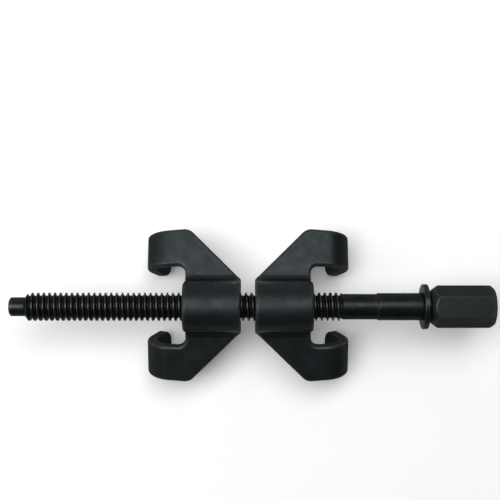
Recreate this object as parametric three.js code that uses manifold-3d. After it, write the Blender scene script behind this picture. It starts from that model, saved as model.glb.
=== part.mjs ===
// Coil spring compressor: a forcing screw, a drive hex and a thrust washer, and two hooked claws.
// One claw carries the thread and travels along the screw; the other slides on it freely.
// Units are millimetres. X runs along the screw towards the drive hex, Z is up, and the tool
// stands on the tips of its four hooks, with its origin on the floor under its middle.
import * as THREE from "three";
import { mergeVertices } from "three/addons/utils/BufferGeometryUtils.js";
import Module from "manifold-3d";

// Screw, from its free end to the drive hex
const SCREW_DIAMETER = 16;
const THREAD_PITCH = 25.4 / 8;
const THREAD_ROOT_RADIUS = 6.15;
const THREAD_CREST_WIDTH = 0.7;
const THREAD_FLANK_WIDTH = 0.7;
const THREAD_ROOT_WIDTH = 1.08;
const THREAD_LEAD_IN = 1.6;
const THREAD_RUN_OUT = 1.4;
const PILOT_RADIUS = 5.35;
const PILOT_LENGTH = 8.7;
const PILOT_CHAMFER = 0.8;
const THREAD_LENGTH = 178.5;
const SHANK_RADIUS = 7.2;
const SHANK_LENGTH = 20.3;
const SHANK_CHAMFER = 0.9;
const COLLAR_RADIUS = 7.7;
const COLLAR_LENGTH = 29;
const COLLAR_CHAMFER = 0.5;
const NECK_RADIUS = 6.9;
const NECK_LENGTH = 33.5;
const OVERALL_LENGTH = 273.3;

// Drive hex and thrust washer
const HEX_ACROSS_FLATS = 21;
const HEX_LENGTH = 36.1;
const HEX_INNER_FACE_RADIUS = 8.8;
const HEX_OUTER_FACE_RADIUS = 10.3;
const HEX_INNER_CHAMFER = 4.8;
const HEX_OUTER_CHAMFER = 2.4;
const HEX_WELD_DEPTH = 0.5;
const HEX_WELD_CROWN = 0.4;
const WASHER_RADIUS = 12.75;
const WASHER_BORE_RADIUS = 8;
const WASHER_THICKNESS = 3.05;
const WASHER_CHAMFER = 0.35;
const WASHER_TO_HEX = 1.35;

// Claw: a formed plate with a half-round trough over the screw, two sloping wings and two hooks.
// Along the plate, distances run from the claw's straight end towards its hooks.
const PLATE = 5.8;
const TROUGH_RADIUS = 14.3;
const TROUGH_ARC = degrees(80);
const TROUGH_WALL = 6.8;
const CREASE_RADIUS = 4;
const WING_SLOPE = degrees(13);
const STRAIGHT_END_HALF_WIDTH = 15.3;
const CLAW_HALF_WIDTH = 44.7;
const SLANT_END = 30;
const SHOULDER_CORNER = 7;
const TROUGH_LENGTH = 32.8;
const NOTCH_RELIEF = 0.8;
const NOTCH_RELIEF_START = 11.3;
const NOTCH_RELIEF_FULL = 16.8;
const NOTCH_CORNER = 3.1;
const ARM_INNER_EDGE = 23.7;
const ARM_OUTER_TAPER = degrees(4.7);
const ARM_INNER_TAPER = degrees(2.4);
const HOOK_START = 42.1;
const HOOK_RADIUS = 12.7;
const HOOK_BEND = degrees(117);
const LIP_LENGTH = 14;
const LIP_OUTER_CORNER = 5.4;
const LIP_INNER_CORNER = 6.6;
const GAP_BETWEEN_CLAWS = 8;
const FREE_CLAW_STRAIGHT_END = 1.9;

// Block that closes the trough round the screw, and its two groove welds
const BORE_RADIUS = 8.4;
const BLOCK_HALF_WIDTH = 9;
const BLOCK_TOP = -4.6;
const BLOCK_BOTTOM = -13.1;
const BLOCK_END_SETBACK = 0.5;
const BLOCK_CHAMFER = 0.6;

// The gap between pieces that touch, and how far solids reach into each other before a cut or a join
const FIT_GAP = 0.3;
const OVERLAP = 0.3;

// Facets
const ROUND_SEGMENTS = 40;
const THREAD_SEGMENTS = 11;
const CROWN_COLUMNS = 12;
const WING_COLUMNS = 1;
const ARM_COLUMNS = 2;
const COLUMN_MARGIN = 0.6;
const BODY_ROWS = 6;
const SHOULDER_ROWS = 4;
const NOTCH_ROWS = 4;
const BEND_ROWS = 11;
const LIP_ROWS = 5;
const WELD_STEPS = 6;

const wasm = await Module();
wasm.setup();

function degrees(angle) {
  return (angle * Math.PI) / 180;
}

// Solids ------------------------------------------------------------------------------------

function signedVolume(positions, triangles) {
  const corner = (i) => new THREE.Vector3().fromArray(positions, 3 * triangles[i]);
  let sum = 0;
  for (let i = 0; i < triangles.length; i += 3) {
    sum += corner(i).dot(corner(i + 1).cross(corner(i + 2)));
  }
  return sum / 6;
}

// A closed geometry as a solid whose faces point out.
function toSolid(geometry) {
  const bare = geometry.clone();
  bare.deleteAttribute("normal");
  bare.deleteAttribute("uv");
  const merged = mergeVertices(bare, 1e-4);
  const vertProperties = merged.attributes.position.array;
  const triVerts = new Uint32Array(merged.index.array);
  if (signedVolume(vertProperties, triVerts) < 0) {
    triVerts.reverse();
  }
  return new wasm.Manifold(new wasm.Mesh({ numProp: 3, vertProperties, triVerts }));
}

function toGeometry(solid) {
  const mesh = solid.getMesh();
  const geometry = new THREE.BufferGeometry();
  geometry.setAttribute("position", new THREE.BufferAttribute(mesh.vertProperties, 3));
  geometry.setIndex(new THREE.BufferAttribute(mesh.triVerts, 1));
  geometry.computeVertexNormals();
  return geometry;
}

// A body of revolution about X. The profile holds [x, radius] pairs and starts and ends on the axis.
function turned(profile) {
  const points = profile.map(([x, radius]) => new THREE.Vector2(radius, x));
  return new THREE.LatheGeometry(points, ROUND_SEGMENTS).rotateZ(-Math.PI / 2);
}

function turnedBar(start, end, radius) {
  return turned([
    [start, 0],
    [start, radius],
    [end, radius],
    [end, 0],
  ]);
}

// A straight bar along X between start and end, whose section is a closed outline of [y, z] points.
function barAlongX(section, start, end) {
  const shape = new THREE.Shape(section.map(([y, z]) => new THREE.Vector2(y, z)));
  const bar = new THREE.ExtrudeGeometry(shape, { depth: end - start, bevelEnabled: false });
  const yToX = new THREE.Matrix4().makeBasis(
    new THREE.Vector3(0, 1, 0),
    new THREE.Vector3(0, 0, 1),
    new THREE.Vector3(1, 0, 0),
  );
  return bar.applyMatrix4(yToX).translate(start, 0, 0);
}

// Screw -------------------------------------------------------------------------------------

const screwStart = -OVERALL_LENGTH / 2;
const threadStart = screwStart + PILOT_LENGTH;
const threadEnd = threadStart + THREAD_LENGTH;
const collarStart = threadEnd + SHANK_LENGTH;
const neckStart = collarStart + COLLAR_LENGTH;
const hexEnd = OVERALL_LENGTH / 2;
const hexStart = hexEnd - HEX_LENGTH;
const washerEnd = hexStart - WASHER_TO_HEX;

// A right-handed rod: one thread profile swept along a helix, closed by a fan at each end.
function threadedRod(start, end) {
  const crest = SCREW_DIAMETER / 2;
  const rootStart = THREAD_CREST_WIDTH + THREAD_FLANK_WIDTH;
  const profile = [
    [0, crest],
    [THREAD_CREST_WIDTH, crest],
    [rootStart, THREAD_ROOT_RADIUS],
    [rootStart + THREAD_ROOT_WIDTH, THREAD_ROOT_RADIUS],
  ];
  const turns = Math.ceil((end - start) / THREAD_PITCH);
  const rows = turns * THREAD_SEGMENTS;
  const positions = [];
  for (let i = 0; i <= rows + THREAD_SEGMENTS; i++) {
    const angle = (2 * Math.PI * i) / THREAD_SEGMENTS;
    for (const [along, radius] of profile) {
      const x = start + (THREAD_PITCH * i) / THREAD_SEGMENTS + along;
      positions.push(x, radius * Math.cos(angle), radius * Math.sin(angle));
    }
  }
  const last = profile.length;
  const vertex = (i, j) => (j < last ? i * last + j : (i + THREAD_SEGMENTS) * last);
  const triangles = [];
  for (let i = 0; i < rows; i++) {
    for (let j = 0; j < last; j++) {
      const near = [vertex(i, j), vertex(i, j + 1)];
      const far = [vertex(i + 1, j), vertex(i + 1, j + 1)];
      triangles.push(near[0], far[0], far[1], near[0], far[1], near[1]);
    }
  }
  for (const [row, axisX, turn] of [
    [0, start, 1],
    [rows, start + THREAD_PITCH * turns, -1],
  ]) {
    const loop = [];
    for (let j = 0; j < last; j++) {
      loop.push(vertex(row, j));
    }
    for (let i = THREAD_SEGMENTS; i > 0; i--) {
      loop.push(vertex(row + i, 0));
    }
    const hub = positions.length / 3;
    positions.push(axisX + THREAD_PITCH / 2, 0, 0);
    loop.forEach((from, k) => {
      const to = loop[(k + 1) % loop.length];
      triangles.push(hub, ...(turn > 0 ? [from, to] : [to, from]));
    });
  }
  const used = [...new Set(triangles)].sort((a, b) => a - b);
  const renumbered = new Map(used.map((old, k) => [old, k]));
  const geometry = new THREE.BufferGeometry();
  const kept = used.flatMap((k) => positions.slice(3 * k, 3 * k + 3));
  geometry.setAttribute("position", new THREE.Float32BufferAttribute(kept, 3));
  geometry.setIndex(triangles.map((k) => renumbered.get(k)));
  return geometry;
}

// The thread is trimmed to a lead-in and a run-out, and joined to the plain lengths.
function forcingScrew() {
  const trim = SCREW_DIAMETER / 2 + OVERLAP;
  const core = THREAD_ROOT_RADIUS - OVERLAP;
  const envelope = turned([
    [threadStart, 0],
    [threadStart, PILOT_RADIUS],
    [threadStart + THREAD_LEAD_IN, trim],
    [threadEnd, trim],
    [threadEnd + THREAD_RUN_OUT, core],
    [threadEnd + THREAD_RUN_OUT, 0],
  ]);
  const plain = turned([
    [screwStart, 0],
    [screwStart, PILOT_RADIUS - PILOT_CHAMFER],
    [screwStart + PILOT_CHAMFER, PILOT_RADIUS],
    [threadStart + OVERLAP, PILOT_RADIUS],
    [threadStart + OVERLAP, core],
    [threadEnd - OVERLAP, core],
    [threadEnd - OVERLAP + SHANK_CHAMFER, SHANK_RADIUS],
    [collarStart, SHANK_RADIUS],
    [collarStart + COLLAR_CHAMFER, COLLAR_RADIUS],
    [neckStart, COLLAR_RADIUS],
    [neckStart, NECK_RADIUS],
    [neckStart + NECK_LENGTH, NECK_RADIUS],
    [neckStart + NECK_LENGTH, 0],
  ]);
  const rod = toSolid(threadedRod(threadStart - THREAD_PITCH, threadEnd + THREAD_PITCH));
  return toGeometry(rod.intersect(toSolid(envelope)).add(toSolid(plain)));
}

function hexPrism(start, end, acrossFlats) {
  const cornerRadius = acrossFlats / Math.sqrt(3);
  const corners = [];
  for (let k = 0; k < 6; k++) {
    const angle = (k * Math.PI) / 3;
    corners.push([cornerRadius * Math.cos(angle), cornerRadius * Math.sin(angle)]);
  }
  return barAlongX(corners, start, end);
}

function driveHex() {
  const prism = toSolid(hexPrism(hexStart, hexEnd, HEX_ACROSS_FLATS));
  const cornerRadius = HEX_ACROSS_FLATS / Math.sqrt(3) + OVERLAP;
  const chamfers = toSolid(
    turned([
      [hexStart, 0],
      [hexStart, HEX_INNER_FACE_RADIUS],
      [hexStart + HEX_INNER_CHAMFER, cornerRadius],
      [hexEnd - HEX_OUTER_CHAMFER, cornerRadius],
      [hexEnd, HEX_OUTER_FACE_RADIUS],
      [hexEnd, 0],
    ]),
  );
  const bore = toSolid(turnedBar(hexStart - OVERLAP, hexEnd + OVERLAP, NECK_RADIUS + FIT_GAP));
  return toGeometry(prism.intersect(chamfers).subtract(bore));
}

// The weld that fills the mouth of the hex's bore over the end of the screw.
function driveHexWeld() {
  const start = neckStart + NECK_LENGTH + FIT_GAP;
  const edge = hexEnd - HEX_WELD_DEPTH;
  return turned([
    [start, 0],
    [start, NECK_RADIUS],
    [edge, NECK_RADIUS],
    [edge + (3 / 4) * HEX_WELD_CROWN, NECK_RADIUS / 2],
    [edge + HEX_WELD_CROWN, 0],
  ]);
}

function thrustWasher() {
  const start = washerEnd - WASHER_THICKNESS;
  return turned([
    [start, WASHER_BORE_RADIUS],
    [start, WASHER_RADIUS - WASHER_CHAMFER],
    [start + WASHER_CHAMFER, WASHER_RADIUS],
    [washerEnd - WASHER_CHAMFER, WASHER_RADIUS],
    [washerEnd, WASHER_RADIUS - WASHER_CHAMFER],
    [washerEnd, WASHER_BORE_RADIUS],
    [start, WASHER_BORE_RADIUS],
  ]);
}

// Claw --------------------------------------------------------------------------------------

// Outer face of the plate across the claw: half-round crown, steep wall, hollow crease, wing.
const wallStart = TROUGH_RADIUS * TROUGH_ARC;
const creaseStart = wallStart + TROUGH_WALL;
const wingStart = creaseStart + CREASE_RADIUS * (TROUGH_ARC - WING_SLOPE);
const wallTop = {
  y: TROUGH_RADIUS * Math.sin(TROUGH_ARC),
  z: TROUGH_RADIUS * Math.cos(TROUGH_ARC),
};
const wallFoot = {
  y: wallTop.y + TROUGH_WALL * Math.cos(TROUGH_ARC),
  z: wallTop.z - TROUGH_WALL * Math.sin(TROUGH_ARC),
};
const creaseCentre = {
  y: wallFoot.y + CREASE_RADIUS * Math.sin(TROUGH_ARC),
  z: wallFoot.z + CREASE_RADIUS * Math.cos(TROUGH_ARC),
};

// The point and the slope at a distance from the crown, measured over the outer face.
function acrossPlate(distance) {
  if (distance < wallStart) {
    const slope = distance / TROUGH_RADIUS;
    return { y: TROUGH_RADIUS * Math.sin(slope), z: TROUGH_RADIUS * Math.cos(slope), slope };
  }
  if (distance < creaseStart) {
    const down = distance - wallStart;
    return {
      y: wallTop.y + down * Math.cos(TROUGH_ARC),
      z: wallTop.z - down * Math.sin(TROUGH_ARC),
      slope: TROUGH_ARC,
    };
  }
  const slope = Math.max(TROUGH_ARC - (distance - creaseStart) / CREASE_RADIUS, WING_SLOPE);
  const along = Math.max(distance - wingStart, 0);
  return {
    y: creaseCentre.y - CREASE_RADIUS * Math.sin(slope) + along * Math.cos(slope),
    z: creaseCentre.z - CREASE_RADIUS * Math.cos(slope) - along * Math.sin(slope),
    slope,
  };
}

// The distance over the outer face at which the wing lies y from the screw's axis.
function distanceAtY(y) {
  return wingStart + (y - acrossPlate(wingStart).y) / Math.cos(WING_SLOPE);
}

// How far an edge draws in at a rounded corner, going from 0 to the radius along the corner.
function cornerInset(radius, along) {
  const t = THREE.MathUtils.clamp(along / radius, 0, 1);
  return radius * (1 - Math.sqrt(1 - t * t));
}

const bendLength = HOOK_RADIUS * HOOK_BEND;
const plateEnd = HOOK_START + bendLength + LIP_LENGTH;

// Outer edge of the flat plate: a slant, a rounded shoulder, and the tapering arm.
const straightEnd = distanceAtY(STRAIGHT_END_HALF_WIDTH);
const widest = distanceAtY(CLAW_HALF_WIDTH);
const slantAngle = Math.atan2(widest - straightEnd, SLANT_END);
const shoulderReach = SHOULDER_CORNER * Math.tan((slantAngle + ARM_OUTER_TAPER) / 2);
const shoulderStart = SLANT_END - shoulderReach * Math.cos(slantAngle);
const shoulderEnd = SLANT_END + shoulderReach * Math.cos(ARM_OUTER_TAPER);
const shoulderCentre = {
  s: shoulderStart + SHOULDER_CORNER * Math.sin(slantAngle),
  v: widest - shoulderReach * Math.sin(slantAngle) - SHOULDER_CORNER * Math.cos(slantAngle),
};

function outerEdge(s) {
  if (s < shoulderStart) {
    return straightEnd + Math.tan(slantAngle) * s;
  }
  if (s < shoulderEnd) {
    return shoulderCentre.v + Math.sqrt(SHOULDER_CORNER ** 2 - (s - shoulderCentre.s) ** 2);
  }
  const arm = widest - Math.tan(ARM_OUTER_TAPER) * (s - SLANT_END);
  return arm - cornerInset(LIP_OUTER_CORNER, s - plateEnd + LIP_OUTER_CORNER);
}

// Inner edge of an arm, from the rounded notch corner to the tip of the lip.
function innerEdge(s) {
  const edge = distanceAtY(ARM_INNER_EDGE) - Math.tan(ARM_INNER_TAPER) * (s - TROUGH_LENGTH);
  const notch = cornerInset(NOTCH_CORNER, TROUGH_LENGTH + NOTCH_CORNER - s);
  return edge - notch + cornerInset(LIP_INNER_CORNER, s - plateEnd + LIP_INNER_CORNER);
}

// A point of the plate: s along it, v across it (signed), depth below its outer face.
function platePoint(s, v, depth) {
  const { y, z, slope } = acrossPlate(Math.abs(v));
  const bend = THREE.MathUtils.clamp((s - HOOK_START) / HOOK_RADIUS, 0, HOOK_BEND);
  const lip = Math.max(s - HOOK_START - bendLength, 0);
  const radius = HOOK_RADIUS - depth;
  const x = Math.min(s, HOOK_START) + radius * Math.sin(bend) + lip * Math.cos(bend);
  const down = depth + radius * (1 - Math.cos(bend)) + lip * Math.sin(bend);
  return [x, Math.sign(v) * (y - down * Math.sin(slope)), z - down * Math.cos(slope)];
}

// Rows along the body, then along the arm: notch corner, arm, bend, lip and rounded tip.
function plateRows() {
  const body = [];
  for (let k = 0; k < BODY_ROWS; k++) {
    body.push((shoulderStart * k) / BODY_ROWS);
  }
  for (let k = 0; k <= SHOULDER_ROWS; k++) {
    body.push(shoulderStart + ((TROUGH_LENGTH - shoulderStart) * k) / SHOULDER_ROWS);
  }
  const arm = [];
  for (let k = 1; k <= NOTCH_ROWS; k++) {
    arm.push(TROUGH_LENGTH + NOTCH_CORNER * (1 - Math.cos((k * Math.PI) / 2 / NOTCH_ROWS)));
  }
  for (let k = 0; k <= BEND_ROWS; k++) {
    arm.push(HOOK_START + (bendLength * k) / BEND_ROWS);
  }
  const corner = Math.max(LIP_OUTER_CORNER, LIP_INNER_CORNER);
  for (let k = 0; k <= LIP_ROWS; k++) {
    arm.push(plateEnd - corner + corner * Math.sin((k * Math.PI) / 2 / LIP_ROWS));
  }
  return { body, arm };
}

// Columns across one half of the body, from the crown to the outer edge, at row s.
function halfColumns(s) {
  const crown = Math.min(wingStart, outerEdge(s) - 2 * COLUMN_MARGIN) + COLUMN_MARGIN;
  const notch = innerEdge(TROUGH_LENGTH);
  const share = (notch - wingStart) / (outerEdge(TROUGH_LENGTH) - wingStart);
  const arm = crown + (outerEdge(s) - crown) * share;
  const columns = [];
  for (let k = 0; k < CROWN_COLUMNS; k++) {
    columns.push((crown * k) / CROWN_COLUMNS);
  }
  for (let k = 0; k < WING_COLUMNS; k++) {
    columns.push(crown + ((arm - crown) * k) / WING_COLUMNS);
  }
  for (let k = 0; k <= ARM_COLUMNS; k++) {
    columns.push(arm + ((outerEdge(s) - arm) * k) / ARM_COLUMNS);
  }
  return columns;
}

// The hook side of the body steps back beside the trough, where the two notches are.
function bodyEnd(v) {
  if (Math.abs(v) >= innerEdge(TROUGH_LENGTH)) {
    return TROUGH_LENGTH;
  }
  const { y } = acrossPlate(Math.abs(v));
  const share = THREE.MathUtils.smoothstep(y, NOTCH_RELIEF_START, NOTCH_RELIEF_FULL);
  return TROUGH_LENGTH - NOTCH_RELIEF * share;
}

// Both faces of the plate as a grid of cells, closed by a wall along every free edge.
function clawPlate() {
  const { body, arm } = plateRows();
  const positions = [];
  const vertices = new Map();
  const vertex = (key, s, v) => {
    if (!vertices.has(key)) {
      vertices.set(key, positions.length / 3);
      positions.push(...platePoint(s, v, 0), ...platePoint(s, v, PLATE));
    }
    return vertices.get(key);
  };
  const half = CROWN_COLUMNS + WING_COLUMNS + ARM_COLUMNS;
  const bodyVertex = (i, column) => {
    const v = Math.sign(column) * halfColumns(body[i])[Math.abs(column)];
    const stepBack = TROUGH_LENGTH - bodyEnd(v);
    const s = body[i] - stepBack * (body[i] / TROUGH_LENGTH) ** 3;
    return vertex(`${i},${column}`, s, v);
  };
  const armVertex = (i, column) => {
    if (i < 0) {
      return bodyVertex(body.length - 1, column);
    }
    const s = arm[i];
    const share = (Math.abs(column) - half + ARM_COLUMNS) / ARM_COLUMNS;
    const v = innerEdge(s) + (outerEdge(s) - innerEdge(s)) * share;
    return vertex(`${body.length + i},${column}`, s, Math.sign(column) * v);
  };
  const cells = [];
  const addCell = (at, i, c) => {
    cells.push([at(i, c), at(i + 1, c), at(i + 1, c + 1), at(i, c + 1)]);
  };
  for (let i = 0; i + 1 < body.length; i++) {
    for (let c = -half; c < half; c++) {
      addCell(bodyVertex, i, c);
    }
  }
  for (let i = -1; i + 1 < arm.length; i++) {
    for (let k = 0; k < ARM_COLUMNS; k++) {
      addCell(armVertex, i, k - half);
      addCell(armVertex, i, k + half - ARM_COLUMNS);
    }
  }
  const triangles = [];
  const quad = (a, b, c, d) => triangles.push(a, b, c, a, c, d);
  const freeEdges = new Map();
  for (const cell of cells) {
    const [a, b, c, d] = cell;
    quad(a, b, c, d);
    quad(d + 1, c + 1, b + 1, a + 1);
    cell.forEach((from, k) => {
      const to = cell[(k + 1) % 4];
      if (!freeEdges.delete(`${to},${from}`)) {
        freeEdges.set(`${from},${to}`, [from, to]);
      }
    });
  }
  for (const [from, to] of freeEdges.values()) {
    quad(to, from, from + 1, to + 1);
  }
  const geometry = new THREE.BufferGeometry();
  geometry.setAttribute("position", new THREE.Float32BufferAttribute(positions, 3));
  geometry.setIndex(triangles);
  return toGeometry(toSolid(geometry));
}

// The block that closes the trough under the screw, with the lower half of the bore in it.
function boreBlock() {
  const section = [
    [-BLOCK_HALF_WIDTH, BLOCK_BOTTOM],
    [BLOCK_HALF_WIDTH, BLOCK_BOTTOM],
    [BLOCK_HALF_WIDTH, BLOCK_TOP - BLOCK_CHAMFER],
    [BLOCK_HALF_WIDTH - BLOCK_CHAMFER, BLOCK_TOP],
    [-BLOCK_HALF_WIDTH + BLOCK_CHAMFER, BLOCK_TOP],
    [-BLOCK_HALF_WIDTH, BLOCK_TOP - BLOCK_CHAMFER],
  ];
  const end = TROUGH_LENGTH - BLOCK_END_SETBACK;
  const bar = toSolid(barAlongX(section, BLOCK_END_SETBACK, end));
  const bore = toSolid(turnedBar(-OVERLAP, TROUGH_LENGTH + OVERLAP, BORE_RADIUS));
  return toGeometry(bar.subtract(bore));
}

// The groove weld between one side of the block and the rounded mouth of the trough.
function grooveWeld(side) {
  const radius = CREASE_RADIUS + PLATE + FIT_GAP;
  const blockSide = BLOCK_HALF_WIDTH + FIT_GAP;
  const rise = (y) => creaseCentre.z - Math.sqrt(radius ** 2 - (creaseCentre.y - y) ** 2);
  const lipY = creaseCentre.y - Math.sqrt(radius ** 2 - (creaseCentre.z - BLOCK_BOTTOM) ** 2);
  const section = [[side * blockSide, BLOCK_BOTTOM]];
  for (let k = 0; k <= WELD_STEPS; k++) {
    const y = lipY + ((blockSide - lipY) * k) / WELD_STEPS;
    section.push([side * y, rise(y)]);
  }
  const end = TROUGH_LENGTH - NOTCH_RELIEF - BLOCK_END_SETBACK;
  return barAlongX(section, 2 * BLOCK_END_SETBACK, end);
}

// Assembly ----------------------------------------------------------------------------------

const phosphate = { color: 0x262c2c, roughness: 0.42, metalness: 0.8 };
const screwFinish = { color: 0x2b302d, roughness: 0.38, metalness: 0.85 };
const weldFinish = { color: 0x24292a, roughness: 0.55, metalness: 0.7 };

function piece(name, geometry, finish) {
  const mesh = new THREE.Mesh(geometry, new THREE.MeshStandardMaterial(finish));
  mesh.name = name;
  return mesh;
}

// One claw with its block and welds, built with its straight end at x = 0 and its hooks at +X.
function claw(prefix, blockName) {
  const group = new THREE.Group();
  group.add(
    piece(`${prefix}_claw`, clawPlate(), phosphate),
    piece(`${prefix}_${blockName}`, boreBlock(), phosphate),
    piece(`${prefix}_block_weld_front`, grooveWeld(-1), weldFinish),
    piece(`${prefix}_block_weld_rear`, grooveWeld(1), weldFinish),
  );
  return group;
}

const travelling = claw("travelling", "nut_block");
travelling.rotation.z = Math.PI;
travelling.position.x = FREE_CLAW_STRAIGHT_END - GAP_BETWEEN_CLAWS;

const free = claw("free", "guide_block");
free.position.x = FREE_CLAW_STRAIGHT_END;

const compressor = new THREE.Group();
compressor.add(
  piece("forcing_screw", forcingScrew(), screwFinish),
  piece("drive_hex", driveHex(), phosphate),
  piece("drive_hex_weld", driveHexWeld(), weldFinish),
  piece("thrust_washer", thrustWasher(), phosphate),
  travelling,
  free,
);

// The height of the screw's axis is that of the hooks' lowest points below it.
compressor.updateMatrixWorld(true);
compressor.position.z = -new THREE.Box3().setFromObject(compressor, true).min.z;

export default compressor;
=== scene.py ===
"""Coil spring compressor: the looks of its screw, hex, washer and two hooked claws.

Every piece is built here as its own mesh, in the place of the CAD node of the same name.
Lengths are in millimetres until mesh_object() turns them into metres. The stage is in metres.
"""
import math

import bmesh
import bpy
import numpy as np
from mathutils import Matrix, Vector, noise
from mathutils.geometry import delaunay_2d_cdt


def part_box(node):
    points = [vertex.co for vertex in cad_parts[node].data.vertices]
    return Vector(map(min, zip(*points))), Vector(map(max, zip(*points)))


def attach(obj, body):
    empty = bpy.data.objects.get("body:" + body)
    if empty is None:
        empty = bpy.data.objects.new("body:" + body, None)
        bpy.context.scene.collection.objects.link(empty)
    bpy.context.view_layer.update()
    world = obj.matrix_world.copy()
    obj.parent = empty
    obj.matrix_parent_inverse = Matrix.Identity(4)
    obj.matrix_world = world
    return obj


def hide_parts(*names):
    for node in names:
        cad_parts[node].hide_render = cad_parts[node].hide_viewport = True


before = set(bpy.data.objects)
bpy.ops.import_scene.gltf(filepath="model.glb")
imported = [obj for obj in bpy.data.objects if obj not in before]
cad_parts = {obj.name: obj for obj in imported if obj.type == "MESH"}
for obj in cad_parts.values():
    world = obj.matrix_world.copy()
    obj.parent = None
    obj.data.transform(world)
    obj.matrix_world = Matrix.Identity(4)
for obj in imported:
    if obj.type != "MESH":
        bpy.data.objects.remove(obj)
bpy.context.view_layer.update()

MM = 0.001
MERGE = 0.002  # vertices closer than this become one


def box_mm(node):
    """The lowest and the highest corner of a CAD node, in millimetres."""
    low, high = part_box(node)
    return low / MM, high / MM


# Places that come from the frame
SCREW_LOW, SCREW_HIGH = box_mm("forcing_screw")
HEX_LOW, HEX_HIGH = box_mm("drive_hex")
WELD_LOW, WELD_HIGH = box_mm("drive_hex_weld")
WASHER_LOW, WASHER_HIGH = box_mm("thrust_washer")
BLOCK_LOW, BLOCK_HIGH = box_mm("free_guide_block")
FREE_STRAIGHT_END = box_mm("free_claw")[0].x
TRAVELLING_STRAIGHT_END = box_mm("travelling_claw")[1].x
AXIS_Z = (HEX_LOW.z + HEX_HIGH.z) / 2

# Screw
CREST_RADIUS = 8
ROOT_RADIUS = 6.15
PITCH = 25.4 / 8
CREST_WIDTH = 0.72
CREST_DROP = 0.05
ROOT_SHAPE = 1.6  # 1 is a V groove, 2 a round one
GROOVE_STEPS = (0.04, 0.11, 0.22, 0.38, 0.58, 0.8, 1)
FIRST_CREST = 0.95  # how far past the thread's start a crest crosses the rear of the screw
SPARE_TURNS = 2  # of the helix, before the thread's start, which flatten into a ring there
LEAD_IN = 1.9  # over which the crests rise from the pilot
RUN_OUT = 2.2  # over which they sink into the shank
PILOT_RADIUS = 5.35
PILOT_LENGTH = 8.7
PILOT_TIP_RADIUS = PILOT_RADIUS - 0.9
PILOT_CHAMFER = 0.8
THREAD_LENGTH = 178.5
SHANK_RADIUS = 7.2
SHANK_LENGTH = 20.3
COLLAR_RADIUS = 7.7
COLLAR_LENGTH = 29
COLLAR_FILLET = 0.3
COLLAR_ARC = 0.35
NECK_RADIUS = 6.9
NECK_ROOT_RADIUS = NECK_RADIUS - 0.35
NECK_PITCH = 1
NECK_CORNER = 0.1
THREAD_START = SCREW_LOW.x + PILOT_LENGTH
THREAD_END = THREAD_START + THREAD_LENGTH
RUN_OUT_END = THREAD_END + RUN_OUT / 2
COLLAR_START = THREAD_END + SHANK_LENGTH
NECK_START = COLLAR_START + COLLAR_LENGTH
AROUND = 64  # vertices in each ring

# Hex and washer
HEX_FLATS = [math.radians(60 * k + 30) for k in range(6)]
HEX_APOTHEM = (HEX_HIGH.z - HEX_LOW.z) / 2
HEX_CORNER = HEX_APOTHEM / math.cos(math.radians(30))
HEX_BORE = 7.2
HEX_INNER_FACE = 8.8
HEX_INNER_CHAMFER = 4.8
HEX_OUTER_FACE = 10.3
HEX_OUTER_CHAMFER = 2.4
HEX_CONE_MARGIN = 0.3  # how far past the corners the chamfer cones reach
HEX_EDGE = 0.3  # how wide its edges are rounded
HEX_BORE_BREAK = 0.25
HEX_INNER_BREAK = 0.12
HEX_OUTER_BREAK = 0.2
HEX_FLAT_SHARES = (0, 0.2, 0.4, 0.6, 0.75, 0.85, 0.92, 0.95, 0.97, 0.985)  # of half a flat
HEX_EDGE_STATIONS = (-0.5, -0.28, -0.14, 0, 0.14, 0.28, 0.5)  # about a chamfer's edge
HEX_STATION_SHARES = (0.1, 0.3, 0.5, 0.7, 0.9)  # of the length between the chamfers
WASHER_RADIUS = (WASHER_HIGH.z - WASHER_LOW.z) / 2
WASHER_BORE = 8
WASHER_BORE_RIM = 0.25
WASHER_RIM = 0.55

# Weld over the screw's end
END_WELD_EDGE = 0.45
SWIRL_ARMS = 7
SWIRL_TWIST = 1.3  # radians for each millimetre outwards
SWIRL_DIP = 0.09

# Claw: distances along the plate run from the straight end to the hooks
PLATE = 5.8
TROUGH_RADIUS = 14.3
TROUGH_ARC = math.radians(80)
TROUGH_WALL = 6.8
CREASE_RADIUS = 4
WING_SLOPE = math.radians(13)
STRAIGHT_END_HALF_WIDTH = 15.3
STRAIGHT_END_CORNER = 1.7
CLAW_HALF_WIDTH = 44.7
SLANT_END = 30
SHOULDER_CORNER = 7
TROUGH_LENGTH = 32.8
NOTCH_RELIEF = 0.8
NOTCH_CORNER = 4.4  # rounder than the CAD's
NOTCH_STEP = 3.1
ARM_INNER_EDGE = 23.7
ARM_OUTER_TAPER = math.radians(4.7)
ARM_INNER_TAPER = math.radians(2.4)
HOOK_START = 42.1
HOOK_RADIUS = 12.7
HOOK_BEND = math.radians(117)
LIP_LENGTH = 14
LIP_OUTER_CORNER = 5.4
LIP_INNER_CORNER = 6.6
OUTER_RIM = 1.6
INNER_RIM = 0.8

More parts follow.
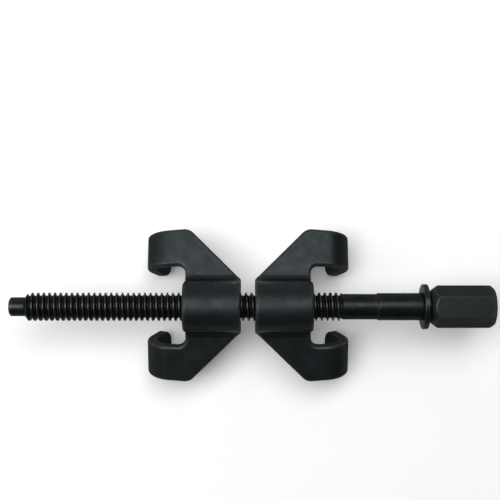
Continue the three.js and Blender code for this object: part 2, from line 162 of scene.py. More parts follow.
# Block and groove welds
BORE_RADIUS = 8.4
BORE_STEPS = 24
BLOCK_HALF_WIDTH = BLOCK_HIGH.y
BLOCK_TOP = BLOCK_HIGH.z - AXIS_Z
BLOCK_BOTTOM = BLOCK_LOW.z - AXIS_Z
BLOCK_LENGTH = BLOCK_HIGH.x - BLOCK_LOW.x
BLOCK_EDGE = 0.7
BLOCK_RIM = 0.5
SECTION_GRID = (np.arange(-12, 12, 1.5), np.arange(-13, 0, 1.5))
SECTION_MARGIN = 0.8
BLOCK_SETBACK = 0.5
WELD_SETBACK = 1.0
WELD_RIM = 0.04
WELD_PLATE_GAP = 0.1
WELD_BLOCK_GAP = 0.05
WELD_TOP = math.radians(190)  # where the section ends, about the crease's centre
WELD_STEPS = 12
WELD_ROWS = 70
WELD_END_REACH = 11.9  # how far across the bead goes at the claw's straight end
WELD_END_SPREAD = 1.6  # and how much further for each millimetre from there
WELD_FACE_DEPTH = 1.5
WELD_PROUD = 0.1
RIPPLE_HEIGHT = 0.16
LUMP_HEIGHT = 0.25

# Wear: how much of an edge each place is, 0 to 1, and below it the painted highlight along the creases
RIM_WEAR = (0.06, 0.19, 0.24, 0.19, 0.08)  # from a face over its rounded rim to the wall
WALL_WEAR = 0.1
PILOT_WEAR = 0.22
SHANK_WEAR = 0.25
WASHER_WEAR = 0.5
CONE_WEAR = 0.5
# a painted highlight along each crease, drawn in the worn colour and strongest near the straight end;
# it stands in for light on the crease, not wear
CREASE_LINE = -0.4  # over the face, from where the trough's arc ends
CREASE_LINE_WIDTH = 2.4
CREASE_HIGHLIGHT = 0.4
CREASE_END_HIGHLIGHT = 0.8
CREASE_END_SPREAD = 24  # square millimetres

# Stage, in metres and watts
FLOOR_HALF_WIDTH = 2.5
FLOOR_CLOUD_MM = 60
FLOOR_DARK = (0.78, 0.78, 0.78)
FLOOR_LIGHT = (0.80, 0.80, 0.80)
FLOOR_GLOW = 0.1
SKY_STRENGTH = 0.045
SOFT_BOXES = (  # name, place, size, power
    ("key", (-0.22, 0.31, 1.33), (1.8, 0.75), 26),
    ("side", (0.0, 1.25, 0.55), (1.6, 0.9), 2.5),
    ("left", (-1.2, 0.2, 0.75), (0.8, 0.8), 4.5),
)
LENS_MM = 72
SENSOR_MM = 36
CAMERA_X = -0.00095
CAMERA_Y = 0.03204
CAMERA_HEIGHT = 0.5653  # above the screw's axis


# Outlines ------------------------------------------------------------------------------------

def rounded(corners, step, closed=True, arc_step=0.3):
    """Points along an outline of (u, v, radius) corners, and 1 for each point on a corner's arc."""
    points, on_arc = [], []
    count = len(corners)
    for i, (u, v, radius) in enumerate(corners):
        here = Vector((u, v))
        if radius == 0 or (not closed and i in (0, count - 1)):
            points.append(here)
            on_arc.append(0)
            continue
        before = (Vector(corners[i - 1][:2]) - here).normalized()
        after = (Vector(corners[(i + 1) % count][:2]) - here).normalized()
        turn = math.pi - before.angle(after)
        reach = radius * math.tan(turn / 2)
        centre = here + (before + after).normalized() * radius / math.cos(turn / 2)
        start = here + before * reach - centre
        end = here + after * reach - centre
        side = 1 if start.x * end.y - start.y * end.x > 0 else -1
        steps = max(3, math.ceil(radius * turn / arc_step))
        for k in range(steps + 1):
            angle = side * turn * k / steps
            c, s = math.cos(angle), math.sin(angle)
            points.append(centre + Vector((c * start.x - s * start.y, s * start.x + c * start.y)))
            on_arc.append(1)
    filled, arcs = [], []
    for i, point in enumerate(points):
        filled.append(point)
        arcs.append(on_arc[i])
        if i + 1 == len(points) and not closed:
            break
        following = points[(i + 1) % len(points)]
        pieces = int((following - point).length // step)
        for k in range(1, pieces + 1):
            filled.append(point.lerp(following, k / (pieces + 1)))
            arcs.append(0)
    return np.array([tuple(p) for p in filled]), np.array(arcs, float)


def inward_normals(outline):
    """Unit vectors that point into a closed outline, one for each of its points."""
    along = np.roll(outline, -1, 0) - np.roll(outline, 1, 0)
    along /= np.linalg.norm(along, axis=1)[:, None]
    x, y = outline.T
    area = np.sum(x * np.roll(y, -1) - y * np.roll(x, -1))
    return np.column_stack((-along[:, 1], along[:, 0])) * (1 if area > 0 else -1)


def inside(points, outline, margin):
    """Which points lie inside a closed outline, at least margin from it."""
    starts, ends = outline, np.roll(outline, -1, 0)
    edge = ends - starts
    offset = points[:, None, :] - starts[None, :, :]
    share = np.clip((offset * edge).sum(2) / (edge * edge).sum(1), 0, 1)
    distance = np.linalg.norm(offset - share[..., None] * edge, axis=2).min(1)
    px, py = points[:, 0:1], points[:, 1:2]
    spans = (starts[:, 1] > py) != (ends[:, 1] > py)
    rise = np.where(edge[:, 1] == 0, 1, edge[:, 1])
    crossing = starts[:, 0] + (py - starts[:, 1]) * edge[:, 0] / rise
    odd = (spans & (px < crossing)).sum(1) % 2 == 1
    return odd & (distance > margin)


# Meshes --------------------------------------------------------------------------------------

def mesh_object(name, body, slot, vertices, faces, edge, merge=0.0):
    """A smooth mesh in the place of the CAD node of that name.

    edge says how much of an edge each vertex is, from 0 to 1; on the claws' outer faces it also holds
    the painted crease highlight.
    """
    mesh = bpy.data.meshes.new(name)
    mesh.from_pydata([tuple(MM * c for c in v) for v in vertices], [], [tuple(f) for f in faces])
    attribute = mesh.attributes.new("edge", "FLOAT", "POINT")
    attribute.data.foreach_set("value", np.array(edge, np.float32))
    work = bmesh.new()
    work.from_mesh(mesh)
    if merge:
        bmesh.ops.remove_doubles(work, verts=work.verts, dist=merge * MM)
        bmesh.ops.dissolve_degenerate(work, edges=work.edges, dist=merge * MM / 10)
    bmesh.ops.recalc_face_normals(work, faces=work.faces)
    if work.calc_volume(signed=True) < 0:
        bmesh.ops.reverse_faces(work, faces=work.faces)
    work.to_mesh(mesh)
    work.free()
    mesh.shade_smooth()
    piece = bpy.data.objects.new(name, mesh)
    bpy.context.scene.collection.objects.link(piece)
    weighted = piece.modifiers.new("weighted normals", "WEIGHTED_NORMAL")
    weighted.weight = 80
    piece.data.materials.append(MATERIALS[slot])
    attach(piece, body)
    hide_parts(name)


def slab_mesh(outline, thickness, rims, place, grid, margin, wall_rows=0, wear=lambda u, v: 0.0):
    """A plate: two filled faces and a wall with rounded rims.

    place(u, v, depth) puts a point of the plate in space. wear(u, v) is the outer face's value of the
    edge attribute; the claws use it for the painted crease highlight.
    """
    outer_rim, inner_rim = rims
    inward = inward_normals(outline)
    loops = []
    rim_steps = len(RIM_WEAR) - 1
    for k in range(rim_steps + 1):
        a = math.pi / 2 * k / rim_steps
        loops.append((outer_rim * (1 - math.sin(a)), outer_rim * (1 - math.cos(a))))
    for k in range(1, wall_rows + 1):
        loops.append((0, outer_rim + (thickness - outer_rim - inner_rim) * k / (wall_rows + 1)))
    for k in range(rim_steps + 1):
        a = math.pi / 2 * k / rim_steps
        loops.append((inner_rim * (1 - math.cos(a)), thickness - inner_rim * (1 - math.sin(a))))
    vertices, faces, edge = [], [], []
    count = len(outline)
    for number, (inset, depth) in enumerate(loops):
        flat = outline + inward * inset
        vertices += [place(u, v, depth) for u, v in flat]
        from_rim = min(number, len(loops) - 1 - number)
        edge += [RIM_WEAR[from_rim] if from_rim <= rim_steps else WALL_WEAR] * count
        if number:
            base, last = number * count, (number - 1) * count
            for i in range(count):
                j = (i + 1) % count
                faces.append((last + i, last + j, base + j, base + i))
    us, vs = np.meshgrid(*grid)
    lattice = np.column_stack((us.ravel(), vs.ravel()))
    for number, flip in ((0, False), (len(loops) - 1, True)):
        inset, depth = loops[number]
        rim = outline + inward * inset
        inner = lattice[inside(lattice, rim, margin)]
        flat = [Vector(p) for p in np.vstack((rim, inner))]
        found = delaunay_2d_cdt(flat, [], [list(range(count))], 1, 1e-5)
        index = []
        for point, origin in zip(found[0], found[3]):
            if origin and origin[0] < count:
                index.append(number * count + origin[0])
            else:
                index.append(len(vertices))
                vertices.append(place(point.x, point.y, depth))
                edge.append(0.0 if flip else wear(point.x, point.y))
        for face in found[2]:
            corners = [index[k] for k in face]
            faces.append(corners[::-1] if flip else corners)
    return vertices, faces, edge


def lathe_mesh(profile, closed, step=2.0, arc_step=0.2, wear=1.0):
    """A body of revolution about the screw's axis, from (x, radius, corner radius) points.

    closed says whether the points go round in a loop, as a ring's section does.
    """
    points, arcs = rounded(profile, step, closed, arc_step)
    rings, edge = [], []
    for (x, radius), arc in zip(points, arcs):
        rings.append(ring(x, radius))
        edge += [wear * arc] * AROUND
    vertices = [v for one in rings for v in one]
    faces = []
    for k in range(len(rings) if closed else len(rings) - 1):
        a, b = k * AROUND, (k + 1) % len(rings) * AROUND
        for i in range(AROUND):
            j = (i + 1) % AROUND
            faces.append((a + i, b + i, b + j, a + j))
    return vertices, faces, edge


def ring(x, radius):
    """The vertices of a circle about the screw's axis."""
    angles = [2 * math.pi * i / AROUND for i in range(AROUND)]
    return [(x, radius * math.cos(a), AXIS_Z + radius * math.sin(a)) for a in angles]


def joined(*parts):
    """Several (vertices, faces, edge) meshes as one."""
    vertices, faces, edge = [], [], []
    for part_vertices, part_faces, part_edge in parts:
        base = len(vertices)
        vertices += part_vertices
        faces += [[base + k for k in face] for face in part_faces]
        edge += list(part_edge)
    return vertices, faces, edge


def smooth_min(a, b, width):
    """The smaller of two lengths, blended where they are close, and how close they are."""
    near = max(width - abs(a - b), 0) / width
    return min(a, b) - near * near * width / 4, near


# Materials -----------------------------------------------------------------------------------

class Nodes:
    """Short calls for building a material's nodes."""

    def __init__(self, name):
        self.material = bpy.data.materials.new(name)
        self.material.use_nodes = True
        self.tree = self.material.node_tree
        self.shader = self.tree.nodes["Principled BSDF"]
        self.place = self.add("ShaderNodeTexCoord").outputs["Object"]

    def add(self, kind, **settings):
        node = self.tree.nodes.new(kind)
        for key, value in settings.items():
            setattr(node, key, value)
        return node

    def link(self, source, target):
        self.tree.links.new(source, target)

    def noise(self, size_mm, detail, roughness, stretch=(1, 1, 1), turn=(0, 0, 0)):
        """Noise whose features are about size_mm across."""
        mapping = self.add("ShaderNodeMapping")
        mapping.inputs["Scale"].default_value = stretch
        mapping.inputs["Rotation"].default_value = turn
        self.link(self.place, mapping.inputs["Vector"])
        texture = self.add("ShaderNodeTexNoise")
        texture.inputs["Scale"].default_value = 1 / (size_mm * MM)
        texture.inputs["Detail"].default_value = detail
        texture.inputs["Roughness"].default_value = roughness
        self.link(mapping.outputs["Vector"], texture.inputs["Vector"])
        return texture.outputs["Fac"]

    def remap(self, value, low, high, to_low=0.0, to_high=1.0):
        """value stretched from low and high to to_low and to_high, and kept between them."""
        node = self.add("ShaderNodeMapRange", clamp=True)
        limits = {"From Min": low, "From Max": high, "To Min": to_low, "To Max": to_high}
        for name, number in limits.items():
            node.inputs[name].default_value = number
        self.link(value, node.inputs["Value"])
        return node.outputs["Result"]

    def math(self, operation, a, b):
        node = self.add("ShaderNodeMath", operation=operation)
        for socket, value in zip(node.inputs, (a, b)):
            if isinstance(value, (int, float)):
                socket.default_value = value
            else:
                self.link(value, socket)
        return node.outputs["Value"]

    def mix(self, factor, a, b):
        """Colour a where factor is 0 and b where it is 1."""
        node = self.add("ShaderNodeMix", data_type="RGBA")
        self.link(factor, node.inputs["Factor"])
        for socket, value in ((node.inputs[6], a), (node.inputs[7], b)):
            if isinstance(value, tuple):
                socket.default_value = (*value, 1)
            else:
                self.link(value, socket)
        return node.outputs[2]

    def bump(self, height, depth_mm, below=None):
        """The normals of a relief depth_mm deep, on top of another relief's normals."""
        node = self.add("ShaderNodeBump")
        node.inputs["Strength"].default_value = 1.0
        node.inputs["Distance"].default_value = depth_mm * MM
        self.link(height, node.inputs["Height"])
        if below:
            self.link(below, node.inputs["Normal"])
        return node.outputs["Normal"]


def black_phosphate(slot, dark, light, tint, tint_share, worn, wear, roughness, grain_mm, grain_depth):
    """Blackened steel: blotches, a crystalline grain, a tint, and bare edges where wear has reached; on
    the claws the same worn colour also paints a highlight along the creases.
    """
    n = Nodes(slot)
    blotches = n.remap(n.noise(9, 4, 0.6), 0.35, 0.68)
    grain = n.noise(grain_mm, 5, 0.7)
    speckle = n.remap(grain, 0.38, 0.66)
    colour = n.mix(blotches, dark, light)
    colour = n.mix(n.math("MULTIPLY", speckle, 0.45), colour, light)
    stain = n.remap(n.noise(4.5, 5, 0.65, turn=(0.4, 0.9, 0.2)), 0.52, 0.74, 0, tint_share)
    colour = n.mix(stain, colour, tint)
    edge = n.add("ShaderNodeAttribute", attribute_name="edge").outputs["Fac"]
    ragged = n.remap(n.noise(1.6, 5, 0.7), 0.33, 0.72)
    # worn colour on the edges, and on the claws also the painted highlight along the creases
    worn_and_highlit = n.math("MULTIPLY", n.math("MULTIPLY", edge, ragged), wear)
    colour = n.mix(worn_and_highlit, colour, worn)
    n.link(colour, n.shader.inputs["Base Color"])
    clouds = n.noise(6, 4, 0.6, turn=(0.7, 0.1, 0.5))
    rough = n.remap(clouds, 0.3, 0.7, roughness - 0.06, roughness + 0.07)
    rough = n.math("ADD", rough, n.math("MULTIPLY", speckle, 0.06))
    rough = n.math("SUBTRACT", rough, n.math("MULTIPLY", worn_and_highlit, 0.2))
    n.link(rough, n.shader.inputs["Roughness"])
    waves = n.bump(n.noise(7, 3, 0.5, turn=(0.2, 0.3, 0.8)), 0.12)
    scratches = n.remap(n.noise(0.5, 3, 0.6, stretch=(0.06, 1, 1), turn=(0, 0, 0.5)), 0.60, 0.78)
    waves = n.bump(scratches, -0.015, below=waves)
    n.link(n.bump(grain, grain_depth, below=waves), n.shader.inputs["Normal"])
    n.shader.inputs["Metallic"].default_value = 0.75
    n.shader.inputs["Specular IOR Level"].default_value = 0.25
    n.shader.inputs["Specular Tint"].default_value = (0.3, 0.3, 0.3, 1)
    return n.material


# dark, light, tint and its share, worn colour and its strength, roughness, grain's size and depth
STEELS = {
    # the claws' worn colour is pale: it paints the bare rims and also the painted highlight along the
    # creases
    "claw_steel": (
        (0.0150, 0.0188, 0.0180), (0.0215, 0.0252, 0.0285), (0.020, 0.024, 0.019), 0.5,
        (0.310, 0.330, 0.330), 0.75, 0.43, 0.7, 0.03),
    "block_steel": (
        (0.0165, 0.0200, 0.0188), (0.0225, 0.0262, 0.0262), (0.026, 0.026, 0.020), 0.5,
        (0.055, 0.060, 0.058), 0.5, 0.46, 0.6, 0.03),
    "screw_steel": (
        (0.0088, 0.0120, 0.0098), (0.0138, 0.0180, 0.0152), (0.026, 0.022, 0.014), 0.6,
        (0.095, 0.105, 0.097), 0.65, 0.31, 0.5, 0.015),
    "hex_steel": (
        (0.0160, 0.0205, 0.0192), (0.0215, 0.0270, 0.0255), (0.023, 0.028, 0.021), 0.5,
        (0.085, 0.096, 0.092), 0.75, 0.42, 0.6, 0.02),
    "washer_steel": (
        (0.0165, 0.0200, 0.0187), (0.0230, 0.0275, 0.0262), (0.026, 0.027, 0.021), 0.4,
        (0.085, 0.095, 0.091), 0.6, 0.27, 0.6, 0.018),
    "weld_metal": (
        (0.0130, 0.0160, 0.0150), (0.0200, 0.0230, 0.0225), (0.028, 0.025, 0.018), 0.6,
        (0.040, 0.043, 0.041), 0.4, 0.55, 0.45, 0.04),
}
MATERIALS = {slot: black_phosphate(slot, *steel) for slot, steel in STEELS.items()}


# Screw ---------------------------------------------------------------------------------------

def thread_profile():
    """(share of a pitch, radius, edge) points over one pitch, from one crest's middle to the next."""
    half_crest = CREST_WIDTH / 2
    groove = PITCH / 2 - half_crest
    side = [
        (0, CREST_RADIUS, 0.9),
        (0.7 * half_crest, CREST_RADIUS, 1),
        (half_crest, CREST_RADIUS - CREST_DROP, 1),
    ]
    for q in GROOVE_STEPS:
        drop = (1 - (1 - q) ** ROOT_SHAPE) ** (1 / ROOT_SHAPE)
        radius = CREST_RADIUS - (CREST_RADIUS - ROOT_RADIUS) * drop
        side.append((half_crest + groove * q, radius, 1 - min(1, 3 * q)))
    other = [(PITCH - d, radius, e) for d, radius, e in side[-2:0:-1]]
    return [(d / PITCH, radius, e) for d, radius, e in side + other]


def thread_mesh(start, end, start_radius, end_radius):
    """A right-handed thread as a strip along its helix, which closes to a plain ring at each end."""
    profile = thread_profile()
    width = len(profile)
    rows = AROUND * math.ceil((end - start) / PITCH + SPARE_TURNS)
    vertices, edge = [], []
    for i in range(rows + AROUND + 1):
        angle = 2 * math.pi * i / AROUND
        for share, radius, worn in profile:
            x = start + FIRST_CREST + PITCH * (i / AROUND + share - SPARE_TURNS)
            x = min(max(x, start), end)
            lead = min((x - start) / LEAD_IN, 1)
            out = min((end - x) / RUN_OUT, 1)
            ceiling = min(start_radius + (CREST_RADIUS - start_radius) * lead,
                          end_radius + (CREST_RADIUS - end_radius) * out)
            bottom = ROOT_RADIUS + (end_radius - ROOT_RADIUS) * (1 - out)
            radius = min(max(radius, bottom), ceiling)
            vertices.append((x, radius * math.cos(angle), AXIS_Z + radius * math.sin(angle)))
            edge.append(worn * min(lead, out))
    faces = []
    for i in range(rows):
        for j in range(width):
            a, b = i * width + j, (i + 1) * width + j
            c, d = b + 1, a + 1
            if j + 1 == width:  # the next turn's crest closes this turn's groove
                c, d = (i + 1 + AROUND) * width, (i + AROUND) * width
            faces.append((a, b, c, d))
    used = sorted({k for face in faces for k in face})
    renumbered = {old: new for new, old in enumerate(used)}
    faces = [[renumbered[k] for k in face] for face in faces]
    return [vertices[k] for k in used], faces, [edge[k] for k in used]


def forcing_screw():
    """The pilot, the thread, and the shank with its collar and its neck's fine grooves."""
    tip = SCREW_LOW.x
    vertices, faces, edge = lathe_mesh([
        (tip, 0, 0),
        (tip, PILOT_TIP_RADIUS, 0.3),
        (tip + PILOT_CHAMFER, PILOT_RADIUS, 0.4),
        (THREAD_START, PILOT_RADIUS, 0),
    ], closed=False)
    pilot = vertices, faces, [max(worn, PILOT_WEAR) for worn in edge]
    thread = thread_mesh(THREAD_START, RUN_OUT_END, PILOT_RADIUS, SHANK_RADIUS)
    neck = [(NECK_START, NECK_ROOT_RADIUS, 0)]
    x = NECK_START
    while x < HEX_LOW.x + NECK_PITCH:
        for share, radius in ((0.35, NECK_RADIUS), (0.6, NECK_RADIUS), (0.9, NECK_ROOT_RADIUS)):
            neck.append((x + share * NECK_PITCH, radius, NECK_CORNER))
        x += NECK_PITCH
    shank = lathe_mesh([
        (RUN_OUT_END, SHANK_RADIUS, 0),
        (COLLAR_START - COLLAR_FILLET, SHANK_RADIUS, COLLAR_FILLET),
        (COLLAR_START + COLLAR_ARC, COLLAR_RADIUS, COLLAR_ARC),
        (NECK_START, COLLAR_RADIUS, 0.3),
        *neck,
        (x, NECK_RADIUS, NECK_CORNER),
        (SCREW_HIGH.x, NECK_RADIUS, 0.2),
        (SCREW_HIGH.x, 0, 0),
    ], closed=False, wear=SHANK_WEAR)
    whole = joined(pilot, thread, shank)
    mesh_object("forcing_screw", "forcing_screw", "screw_steel", *whole, merge=MERGE)


# Hex and washer ------------------------------------------------------------------------------

def hex_angles():
    """Angles round the hex, close together at its corners."""
    half_side = HEX_APOTHEM * math.tan(math.radians(30))
    shares = [-share for share in HEX_FLAT_SHARES[:0:-1]] + [*HEX_FLAT_SHARES, 1.0]
    return [flat + math.atan2(share * half_side, HEX_APOTHEM) for flat in HEX_FLATS for share in shares]


def drive_hex():
    """The hex. Its radius at each place is the smaller of the hexagon's and the chamfer cones'."""
    angles = hex_angles()
    vertices, edge = [], []
    inner_rise = (HEX_CORNER + HEX_CONE_MARGIN - HEX_INNER_FACE) / HEX_INNER_CHAMFER
    outer_rise = (HEX_CORNER + HEX_CONE_MARGIN - HEX_OUTER_FACE) / HEX_OUTER_CHAMFER
    for angle in angles:
        leans = [math.cos(angle - flat) for flat in HEX_FLATS]
        # the two nearest flats, without those that face away
        reaches = sorted(HEX_APOTHEM / lean for lean in leans if lean > 0.2)
        side, corner = smooth_min(reaches[0], reaches[1], HEX_EDGE)
        inner = HEX_LOW.x + (side - HEX_INNER_FACE) / inner_rise
        outer = HEX_HIGH.x - (side - HEX_OUTER_FACE) / outer_rise
        outer_room = min(0.3, (HEX_HIGH.x - outer) * 1.5)  # the stations stop short of the end face
        stations = [HEX_LOW.x + HEX_INNER_BREAK, (HEX_LOW.x + inner) / 2]
        stations += [inner + d for d in HEX_EDGE_STATIONS]
        stations += [inner + (outer - inner) * share for share in HEX_STATION_SHARES]
        stations += [outer + d * outer_room for d in HEX_EDGE_STATIONS]
        column = [
            (HEX_LOW.x + HEX_BORE_BREAK, HEX_BORE, 0.3),
            (HEX_LOW.x, HEX_BORE + HEX_BORE_BREAK, 0.5),
            (HEX_LOW.x, HEX_INNER_FACE - HEX_INNER_BREAK, 0.5),
        ]
        for x in stations:
            inner_cone = HEX_INNER_FACE + (x - HEX_LOW.x) * inner_rise
            outer_cone = HEX_OUTER_FACE + (HEX_HIGH.x - x) * outer_rise
            cone = min(inner_cone, outer_cone)
            radius, meeting = smooth_min(side, cone, HEX_EDGE)
            column.append((x, radius, max(corner if side < cone else CONE_WEAR, meeting)))
        column += [
            (HEX_HIGH.x, HEX_OUTER_FACE - HEX_OUTER_BREAK, 0.5),
            (HEX_HIGH.x, HEX_BORE + HEX_BORE_BREAK, 0.3),
            (HEX_HIGH.x - HEX_BORE_BREAK, HEX_BORE, 0.3),
        ]
        for x, radius, worn in column:
            vertices.append((x, radius * math.cos(angle), AXIS_Z + radius * math.sin(angle)))
            edge.append(worn)
    columns = len(vertices) // len(angles)
    faces = []
    for i in range(len(angles)):
        a, b = i * columns, (i + 1) % len(angles) * columns
        for j in range(columns):
            k = (j + 1) % columns
            faces.append((a + j, a + k, b + k, b + j))
    mesh_object("drive_hex", "forcing_screw", "hex_steel", vertices, faces, edge, merge=MERGE)


def drive_hex_weld():
    """The weld over the end of the screw, in the mouth of the hex."""
    vertices, faces, edge = lathe_mesh([
        (WELD_LOW.x, 0, 0),
        (WELD_LOW.x, NECK_RADIUS, 0.2),
        (WELD_HIGH.x - END_WELD_EDGE, NECK_RADIUS, 0.5),
        (WELD_HIGH.x - 0.1, NECK_RADIUS * 0.6, 1),
        (WELD_HIGH.x, 0, 0),
    ], closed=False, step=0.5)
    middle = (WELD_LOW.x + WELD_HIGH.x) / 2
    rippled = []
    for x, y, z in vertices:
        radius = math.hypot(y, z - AXIS_Z)
        swirl = math.atan2(z - AXIS_Z, y) * SWIRL_ARMS + radius * SWIRL_TWIST
        dip = SWIRL_DIP * (1 + math.sin(swirl)) * min(radius / NECK_RADIUS, 1) if x > middle else 0
        rippled.append((x - dip, y, z))
    mesh_object("drive_hex_weld", "forcing_screw", "weld_metal", rippled, faces, edge, merge=MERGE)


def thrust_washer():
    """A thick ring with rounded rims."""
    mesh_object("thrust_washer", "thrust_washer", "washer_steel", *lathe_mesh([
        (WASHER_LOW.x, WASHER_BORE, WASHER_BORE_RIM),
        (WASHER_LOW.x, WASHER_RADIUS, WASHER_RIM),
        (WASHER_HIGH.x, WASHER_RADIUS, WASHER_RIM),
        (WASHER_HIGH.x, WASHER_BORE, WASHER_BORE_RIM),
    ], closed=True, step=0.6, arc_step=0.12, wear=WASHER_WEAR))


# Claw ----------------------------------------------------------------------------------------

WALL_START = TROUGH_RADIUS * TROUGH_ARC
CREASE_START = WALL_START + TROUGH_WALL
WING_START = CREASE_START + CREASE_RADIUS * (TROUGH_ARC - WING_SLOPE)
WALL_TOP = (TROUGH_RADIUS * math.sin(TROUGH_ARC), TROUGH_RADIUS * math.cos(TROUGH_ARC))
WALL_FOOT = (WALL_TOP[0] + TROUGH_WALL * math.cos(TROUGH_ARC),
             WALL_TOP[1] - TROUGH_WALL * math.sin(TROUGH_ARC))
CREASE_CENTRE = (WALL_FOOT[0] + CREASE_RADIUS * math.sin(TROUGH_ARC),
                 WALL_FOOT[1] + CREASE_RADIUS * math.cos(TROUGH_ARC))
BEND_LENGTH = HOOK_RADIUS * HOOK_BEND
LIP_START = HOOK_START + BEND_LENGTH
PLATE_END = LIP_START + LIP_LENGTH


def across_plate(distance):
    """(y, z, slope) of the outer face at a distance from the crown, measured over the face."""
    if distance < WALL_START:
        slope = distance / TROUGH_RADIUS
        return TROUGH_RADIUS * math.sin(slope), TROUGH_RADIUS * math.cos(slope), slope
    if distance < CREASE_START:
        down = distance - WALL_START
        y = WALL_TOP[0] + down * math.cos(TROUGH_ARC)
        return y, WALL_TOP[1] - down * math.sin(TROUGH_ARC), TROUGH_ARC
    slope = max(TROUGH_ARC - (distance - CREASE_START) / CREASE_RADIUS, WING_SLOPE)
    along = max(distance - WING_START, 0)
    y = CREASE_CENTRE[0] - CREASE_RADIUS * math.sin(slope) + along * math.cos(slope)
    z = CREASE_CENTRE[1] - CREASE_RADIUS * math.cos(slope) - along * math.sin(slope)
    return y, z, slope


def distance_at_y(y):
    """The distance over the outer face at which the wing is y from the middle."""
    return WING_START + (y - across_plate(WING_START)[0]) / math.cos(WING_SLOPE)


def slant_in_crease(s):
    """Where the slant's edge crosses the crease, measured over the face.

    The slant's rim then runs straight when seen from above, at s along the plate.
    """
    y = STRAIGHT_END_HALF_WIDTH + (CLAW_HALF_WIDTH - STRAIGHT_END_HALF_WIDTH) * s / SLANT_END
    rim_y = y - OUTER_RIM * math.sin(WING_SLOPE)
    slope = math.asin((CREASE_CENTRE[0] - rim_y) / (CREASE_RADIUS + OUTER_RIM))
    return CREASE_START + CREASE_RADIUS * (TROUGH_ARC - slope)


def plate_point(s, v, depth):
    """A point of the plate: s along it, v across it and depth below its outer face."""
    y, z, slope = across_plate(abs(v))
    bend = min(max((s - HOOK_START) / HOOK_RADIUS, 0), HOOK_BEND)
    lip = max(s - HOOK_START - BEND_LENGTH, 0)
    radius = HOOK_RADIUS - depth
    x = min(s, HOOK_START) + radius * math.sin(bend) + lip * math.cos(bend)
    down = depth + radius * (1 - math.cos(bend)) + lip * math.sin(bend)
    return x, math.copysign(y - down * math.sin(slope), v), z - down * math.cos(slope)


def claw_outline():
    """The flat plate's outline: straight end, slants, arms, lips, notches and the trough's end."""
    widest = distance_at_y(CLAW_HALF_WIDTH)
    inner = distance_at_y(ARM_INNER_EDGE)
    notch = TROUGH_LENGTH - NOTCH_RELIEF
    wall_middle = (WALL_START + CREASE_START) / 2

    def inner_edge(s):
        return inner - math.tan(ARM_INNER_TAPER) * (s - TROUGH_LENGTH)

    crease_end = SLANT_END * (across_plate(WING_START)[0] - STRAIGHT_END_HALF_WIDTH)
    crease_end /= CLAW_HALF_WIDTH - STRAIGHT_END_HALF_WIDTH
    half = [(0, slant_in_crease(0), STRAIGHT_END_CORNER)]
    for share in (0.4, 0.6, 0.8, 1):
        half.append((share * crease_end, slant_in_crease(share * crease_end), 0))
    half += [
        (SLANT_END, widest, SHOULDER_CORNER),
        (PLATE_END, widest - math.tan(ARM_OUTER_TAPER) * (PLATE_END - SLANT_END), LIP_OUTER_CORNER),
        (PLATE_END, inner_edge(PLATE_END), LIP_INNER_CORNER),
        (notch, inner_edge(notch), NOTCH_CORNER),
        (notch, wall_middle + NOTCH_STEP, SHOULDER_CORNER),
        (TROUGH_LENGTH, wall_middle - NOTCH_STEP, SHOULDER_CORNER),
    ]
    other = [(s, -v, radius) for s, v, radius in reversed(half)]
    return rounded(half + other, step=0.7, arc_step=0.45)[0]


def claw_grid():
    """Lines along and across the plate, close together where it bends."""
    def lines(*spans):
        """Lines through (start, end, gap) stretches."""
        return [line for start, end, gap in spans for line in np.arange(start, end, gap)]

    lengths = lines((1.5, HOOK_START, 1.5), (HOOK_START, LIP_START, 0.85), (LIP_START, PLATE_END, 1.6))
    half = lines(
        (0, WALL_START, 0.75),
        (WALL_START, CREASE_START, 0.9),
        (CREASE_START, WING_START + 0.2, 0.36),
        (WING_START + 1, distance_at_y(CLAW_HALF_WIDTH), 1.6),
    )
    return lengths, [-v for v in half[:0:-1]] + half


def painted_crease_highlight(s, v):
    """A painted highlight along each crease, most of all at the straight end, drawn in the worn colour.
    """
    off_line = (abs(v) - WALL_START - CREASE_LINE) / CREASE_LINE_WIDTH
    along = min(1, CREASE_HIGHLIGHT + CREASE_END_HIGHLIGHT * math.exp(-s * s / CREASE_END_SPREAD))
    return along * math.exp(-off_line * off_line)


def block_section():
    """The block's section: a bar with the lower half of the bore in its top."""
    mouth = math.asin(BLOCK_TOP / BORE_RADIUS)
    bore = []
    for k in range(BORE_STEPS + 1):
        angle = mouth + (-math.pi - 2 * mouth) * k / BORE_STEPS
        bore.append((BORE_RADIUS * math.cos(angle), BORE_RADIUS * math.sin(angle), 0))
    return rounded([
        (-BLOCK_HALF_WIDTH, BLOCK_BOTTOM, BLOCK_EDGE),
        (BLOCK_HALF_WIDTH, BLOCK_BOTTOM, BLOCK_EDGE),
        (BLOCK_HALF_WIDTH, BLOCK_TOP, BLOCK_EDGE),
        *bore,
        (-BLOCK_HALF_WIDTH, BLOCK_TOP, BLOCK_EDGE),
    ], step=0.8, arc_step=0.25)[0]


def weld_section(side):
    """The groove weld's section, between the block's side and the trough's rounded mouth."""
    radius = CREASE_RADIUS + PLATE + WELD_PLATE_GAP
    inner = side * (BLOCK_HALF_WIDTH + WELD_BLOCK_GAP)
    centre_y, centre_z = CREASE_CENTRE
    mouth = math.pi - math.asin((BLOCK_BOTTOM - centre_z) / radius)
    outline = [(inner, BLOCK_BOTTOM, 0)]
    for k in range(WELD_STEPS + 1):
        angle = mouth + (WELD_TOP - mouth) * k / WELD_STEPS
        y = side * (centre_y + radius * math.cos(angle))
        outline.append((y, centre_z + radius * math.sin(angle), 0))
    outline.append((inner, outline[-1][1], 0))
    return rounded(outline, step=0.7)[0]


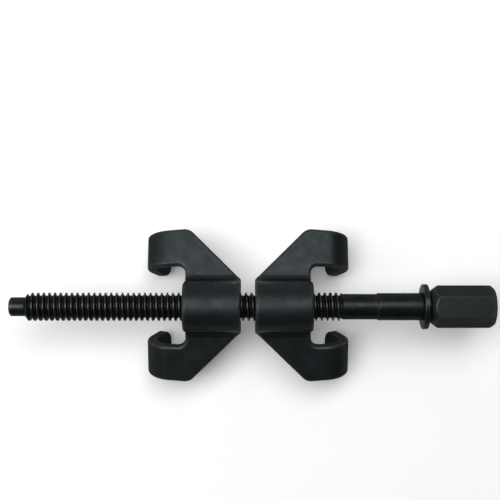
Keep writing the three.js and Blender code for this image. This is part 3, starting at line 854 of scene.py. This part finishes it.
def weld_point(y, z, depth, side):
    """A point of the groove weld: its face rippled, and cut back at the claw's straight end."""
    face = max(0.0, 1 - (z - BLOCK_BOTTOM) / WELD_FACE_DEPTH)
    # ripples about 2 mm apart, a little uneven and curved across the bead
    ripple = RIPPLE_HEIGHT * math.sin(depth * 3.1 + 0.8 * math.sin(depth * 0.7) + abs(y) * 0.9)
    lump = LUMP_HEIGHT * noise.noise(Vector((depth * 0.4, y * 0.5, side * 3.0)))
    s = WELD_SETBACK + depth
    y = math.copysign(min(abs(y), WELD_END_REACH + WELD_END_SPREAD * s), y)
    return s, y, z - face * (WELD_PROUD + ripple + lump)


def claw(prefix, block, body, straight_end, direction):
    """One claw with its block and groove welds. direction is the way its hooks point along X."""
    def place(x, y, z):
        return straight_end + direction * x, direction * y, AXIS_Z + z

    def place_plate(s, v, depth):
        return place(*plate_point(s, v, depth))

    # the outer face gets the painted crease highlight through its wear values
    plate = slab_mesh(claw_outline(), PLATE, (OUTER_RIM, INNER_RIM), place_plate, claw_grid(),
                      margin=0.45, wear=painted_crease_highlight)
    mesh_object(f"{prefix}_claw", body, "claw_steel", *plate)
    bar = slab_mesh(block_section(), BLOCK_LENGTH, (BLOCK_RIM, BLOCK_RIM),
                    lambda y, z, depth: place(BLOCK_SETBACK + depth, y, z),
                    SECTION_GRID, SECTION_MARGIN)
    mesh_object(f"{prefix}_{block}", body, "block_steel", *bar)
    for place_name in ("front", "rear"):
        low, high = box_mm(f"{prefix}_block_weld_{place_name}")
        # a weld is named after its place in the tool, and the travelling claw is turned about
        side = 1 if (low.y + high.y) * direction > 0 else -1
        bead = slab_mesh(weld_section(side), high.x - low.x, (WELD_RIM, WELD_RIM),
                         lambda y, z, depth: place(*weld_point(y, z, depth, side)),
                         SECTION_GRID, SECTION_MARGIN, wall_rows=WELD_ROWS)
        mesh_object(f"{prefix}_block_weld_{place_name}", body, "weld_metal", *bead)


# Stage ---------------------------------------------------------------------------------------

def floor():
    """A plain pale sheet under the hooks."""
    size = FLOOR_HALF_WIDTH
    corners = [(-size, -size, 0), (size, -size, 0), (size, size, 0), (-size, size, 0)]
    mesh = bpy.data.meshes.new("floor")
    mesh.from_pydata(corners, [], [(0, 1, 2, 3)])
    n = Nodes("floor_paper")
    paper = n.mix(n.noise(FLOOR_CLOUD_MM, 3, 0.5), FLOOR_DARK, FLOOR_LIGHT)
    n.link(paper, n.shader.inputs["Base Color"])
    n.shader.inputs["Roughness"].default_value = 0.9
    n.shader.inputs["Specular IOR Level"].default_value = 0.1
    n.shader.inputs["Emission Color"].default_value = (1, 1, 1, 1)
    n.shader.inputs["Emission Strength"].default_value = FLOOR_GLOW
    mesh.materials.append(n.material)
    sheet = bpy.data.objects.new("floor", mesh)
    bpy.context.scene.collection.objects.link(sheet)


def soft_box(name, position, target, size, power):
    """A rectangular lamp that shines at target."""
    data = bpy.data.lights.new(name, "AREA")
    data.shape = "RECTANGLE"
    data.size, data.size_y = size
    data.energy = power
    light = bpy.data.objects.new(name, data)
    light.location = position
    aim = Vector(target) - Vector(position)
    light.rotation_euler = aim.to_track_quat("-Z", "Y").to_euler()
    bpy.context.scene.collection.objects.link(light)


def studio():
    """A faint white sky and three soft boxes."""
    scene = bpy.context.scene
    world = bpy.data.worlds.new("studio")
    world.use_nodes = True
    sky = world.node_tree.nodes["Background"]
    sky.inputs["Color"].default_value = (1, 1, 1, 1)
    sky.inputs["Strength"].default_value = SKY_STRENGTH
    scene.world = world
    scene.view_settings.view_transform = "Standard"
    for name, position, size, power in SOFT_BOXES:
        soft_box(name, position, (0, 0, AXIS_Z * MM), size, power)


def camera():
    """Straight above the tool, with the tool in the lower half of the picture."""
    data = bpy.data.cameras.new("camera")
    data.lens = LENS_MM
    data.sensor_width = SENSOR_MM
    view = bpy.data.objects.new("camera", data)
    view.location = (CAMERA_X, CAMERA_Y, AXIS_Z * MM + CAMERA_HEIGHT)
    bpy.context.scene.collection.objects.link(view)
    bpy.context.scene.camera = view


forcing_screw()
drive_hex()
drive_hex_weld()
thrust_washer()
claw("free", "guide_block", "free_jaw", FREE_STRAIGHT_END, 1)
claw("travelling", "nut_block", "travelling_jaw", TRAVELLING_STRAIGHT_END, -1)
floor()
studio()
camera()
